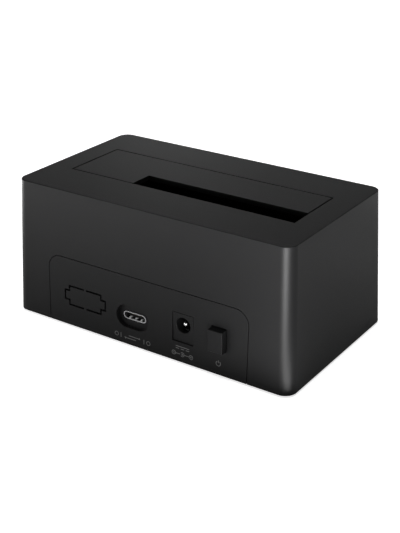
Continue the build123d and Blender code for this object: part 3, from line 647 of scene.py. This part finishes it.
streak_depth = 0.000004
sleeve_low, sleeve_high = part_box("usb_c_shell")
sleeve_middle = (sleeve_low + sleeve_high) / 2
bright_rim = 0.0003
finger_rise = 0.00058
metal_group = make_metal_group()
sleeve_nickel = plated(
    "sleeve_nickel", (0.62, 0.62, 0.63), roughness=0.42, streaks=(2500.0, 300.0, 2500.0)
)
# Painted shade: the sleeve darkens inside, from just behind its rim down to a tenth of its
# colour.
paint_shade_inwards(sleeve_nickel, mouth=sleeve_high.y - bright_rim, depth=0.0004, share=0.1)
# Painted highlight: a near-white, rough band along the floor of the sleeve, where its fingers
# rise.
paint_finger_highlights(
    sleeve_nickel,
    middle={"X": sleeve_middle.x, "Z": sleeve_low.z + finger_rise},
    reach={"X": 0.0036, "Z": 0.00024},
    colour=(0.95, 0.95, 0.95),
    roughness=0.7,
)
contact_gold = plated(
    "contact_gold", (0.78, 0.56, 0.23), roughness=0.26, streaks=(3000.0, 3000.0, 400.0)
)
# Painted shade: the gold on the tongue is a much darker copy of the contact gold.
shaded_tongue_gold = plated(
    "shaded_tongue_gold", (0.30, 0.22, 0.10), roughness=0.4, streaks=(3000.0, 400.0, 3000.0)
)
socket_black = moulded(
    "socket_black",
    (0.0060, 0.0060, 0.0062),
    roughness=0.36,
    sheen=0.1,
    grain_scale=3600.0,
    grain_depth=0.000005,
)
dress(sleeve_nickel, "usb_c_shell")
dress(socket_black, "usb_c_core")
dress(shaded_tongue_gold, "usb_c_contacts")

# Power inlet: a square black moulding with a round bore, a bright pin in its middle, a sprung
# side contact and a flat terminal soldered through the board.
inlet_black = moulded(
    "inlet_black",
    (0.0060, 0.0060, 0.0062),
    roughness=0.38,
    sheen=0.14,
    grain_scale=3000.0,
    grain_depth=0.000006,
)
pin_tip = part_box("dc_jack_pin")[1].y
painted_highlight_band = 0.000045
nose_start = pin_tip - painted_highlight_band
nose_depth = 0.0005
pin_nickel = plated(
    "pin_nickel", (0.60, 0.60, 0.595), roughness=0.34, streaks=(3000.0, 200.0, 3000.0)
)
# Painted highlight and painted shade: the pin keeps its full colour only at the very tip, darkens
# over its nose to a fifth, and darkens further down its shaft.
paint_shade_inwards(pin_nickel, mouth=nose_start, depth=nose_depth, share=0.2)
paint_shade_inwards(pin_nickel, mouth=nose_start - nose_depth, depth=0.0026, share=0.4)
# Painted shade: tinned strip darkened almost to black, for the side contact deep in the bore; the
# switch pins share it.
shaded_strip_tin = plated(
    "shaded_strip_tin", (0.06, 0.06, 0.062), roughness=0.5, streaks=(3000.0, 200.0, 3000.0)
)
dress(inlet_black, "dc_jack_body")
dress(pin_nickel, "dc_jack_pin")
dress(shaded_strip_tin, "dc_jack_spring", "dc_jack_terminal")

# Power button and its switch: a black cap that stands out of its window, pressed onto a pale
# square plunger in a black switch body with three tinned pins and a coil spring.
button_black = moulded(
    "button_black",
    (0.0045, 0.0045, 0.0047),
    roughness=0.38,
    sheen=0.135,
    grain_scale=3200.0,
    grain_depth=0.000006,
)
plunger_white = moulded(
    "plunger_white",
    (0.62, 0.61, 0.57),
    roughness=0.38,
    sheen=0.5,
    grain_scale=2400.0,
    grain_depth=0.000006,
)
wire_steel = plated(
    "wire_steel", (0.48, 0.48, 0.49), roughness=0.32, streaks=(1800.0, 1800.0, 1800.0)
)
dress(button_black, "power_button")
dress(socket_black, "power_switch_body")
dress(plunger_white, "switch_plunger")
dress(shaded_strip_tin, "switch_terminals")


def bending_copy(node, name):
    """A joined, smooth copy of a steel spring in wire steel that stands for it, with the spring
    itself hidden.
    """
    bm = bmesh.new()
    bm.from_mesh(nodes[node].data)
    bmesh.ops.remove_doubles(bm, verts=bm.verts[:], dist=0.000001)
    for face in bm.faces:
        face.smooth = True
        face.material_index = 0
    made = finished_mesh(bm, name)
    made.data.materials.append(wire_steel)
    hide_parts(node)
    return made


spring_low, spring_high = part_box("switch_spring")
spring_seat = (spring_low + spring_high) / 2
spring_seat.y = spring_low.y
button_spring = bending_copy("switch_spring", "button_spring")
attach(button_spring, "housing")
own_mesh(button_spring)

# Flap: a flat black moulding, cut away at one corner for the slim drive, with ribs, knuckles and
# two stop lugs underneath. It turns on a steel rod against two wound wire springs, one leg of
# each on the flap and the other on the bay wall.
flap_black = moulded(
    "flap_black",
    (0.0065, 0.0065, 0.0067),
    roughness=0.37,
    sheen=0.14,
    grain_scale=2600.0,
    grain_depth=0.00001,
)
dress(flap_black, "bay_flap")
dress(wire_steel, "flap_hinge_rod")
for side in ("left", "right"):
    spring_low, spring_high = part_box(f"flap_spring_{side}")
    wound_spring = bending_copy(f"flap_spring_{side}", f"{side}_flap_spring")
    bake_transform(wound_spring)

# Bay: the upright walls and the floor that guide a drive down onto the socket, both moulded in
# a duller black than the housing.
liner_black = moulded(
    "liner_black",
    (0.0060, 0.0060, 0.0062),
    roughness=0.52,
    sheen=0.06,
    grain_scale=2200.0,
    grain_depth=0.000012,
)
dress(liner_black, "bay_liner", "drive_cradle")

# Drive socket: a smooth black moulding with two slots of unequal length and a row of gold plated
# strips along one wall of each.
dress(socket_black, "sata_socket")
dress(contact_gold, "sata_contacts")


# Board: glass laminate under a green mask with darker copper runs below it, and the plain parts
# that are soldered to it.
def make_board_mask():
    """The green mask with copper runs that show through it as a darker net."""
    made = bpy.data.materials.new("board_green")
    tree = empty_tree(made)
    place = add_node(tree, "ShaderNodeTexCoord")
    cells = add_node(
        tree,
        "ShaderNodeTexVoronoi",
        {"Vector": place.outputs["Object"], "Scale": 420.0, "Randomness": 0.35},
        distance="MANHATTAN",
        feature="F1",
    )
    runs = add_node(
        tree,
        "ShaderNodeMapRange",
        {"Value": cells.outputs["Distance"], "From Min": 0.38, "From Max": 0.46},
    )
    tint = add_node(
        tree,
        "ShaderNodeMix",
        {
            0: runs.outputs[0],
            6: (0.012, 0.075, 0.034, 1.0),
            7: (0.022, 0.130, 0.058, 1.0),
        },
        data_type="RGBA",
    )
    bump = add_node(
        tree,
        "ShaderNodeBump",
        {"Strength": 0.5, "Distance": 0.00003, "Height": runs.outputs[0]},
    )
    skin = add_node(
        tree,
        "ShaderNodeBsdfPrincipled",
        {
            "Base Color": tint.outputs[2],
            "Roughness": 0.28,
            "Specular IOR Level": 0.5,
            "Normal": bump.outputs["Normal"],
        },
    )
    add_node(tree, "ShaderNodeOutputMaterial", {"Surface": skin.outputs[0]})
    return made


board_green = make_board_mask()
chip_black = moulded(
    "chip_black",
    (0.018, 0.018, 0.020),
    roughness=0.5,
    sheen=0.4,
    grain_scale=5200.0,
    grain_depth=0.000006,
)
ferrite_grey = moulded(
    "ferrite_grey",
    (0.085, 0.085, 0.090),
    roughness=0.5,
    sheen=0.4,
    grain_scale=4200.0,
    grain_depth=0.00001,
)
can_metal = plated(
    "can_metal", (0.74, 0.74, 0.75), roughness=0.3, streaks=(600.0, 600.0, 2600.0)
)
dress(board_green, "main_pcb")
dress(chip_black, "bridge_chip", "firmware_chip", "voltage_regulator")
dress(ferrite_grey, "power_inductors")
dress(can_metal, "filter_capacitors", "clock_crystal")

# Indicator: a small pale lamp on the board and a clear acrylic rod that carries its light to the
# front wall.
lamp_white = moulded(
    "lamp_white",
    (0.72, 0.72, 0.64),
    roughness=0.3,
    sheen=0.5,
    grain_scale=3000.0,
    grain_depth=0.000003,
)
dress(lamp_white, "status_led")
rod_clear = bpy.data.materials.new("clear_rod")
tree = empty_tree(rod_clear)
place = add_node(tree, "ShaderNodeTexCoord")
haze = add_node(
    tree, "ShaderNodeTexNoise", {"Vector": place.outputs["Object"], "Scale": 1400.0}
)
frost = add_node(
    tree,
    "ShaderNodeMapRange",
    {"Value": haze.outputs["Fac"], "To Min": 0.08, "To Max": 0.26},
)
skin = add_node(
    tree,
    "ShaderNodeBsdfPrincipled",
    {
        "Base Color": (0.80, 0.83, 0.86, 1.0),
        "Roughness": frost.outputs[0],
        "IOR": 1.49,
        "Transmission Weight": 1.0,
    },
)
add_node(tree, "ShaderNodeOutputMaterial", {"Surface": skin.outputs[0]})
dress(rod_clear, "light_pipe")

# Feet and screws: four soft black rubber discs stuck in their pockets, and black zinc plated
# pan heads with a six-sided drive.
foot_rubber = moulded(
    "foot_rubber",
    (0.020, 0.020, 0.020),
    roughness=0.72,
    sheen=0.3,
    grain_scale=1800.0,
    grain_depth=0.00002,
)
screw_zinc = plated(
    "screw_zinc", (0.16, 0.16, 0.165), roughness=0.36, streaks=(2600.0, 2600.0, 900.0)
)
dress(foot_rubber, "rubber_feet")
dress(screw_zinc, "case_screws", "liner_screws", "board_screws")
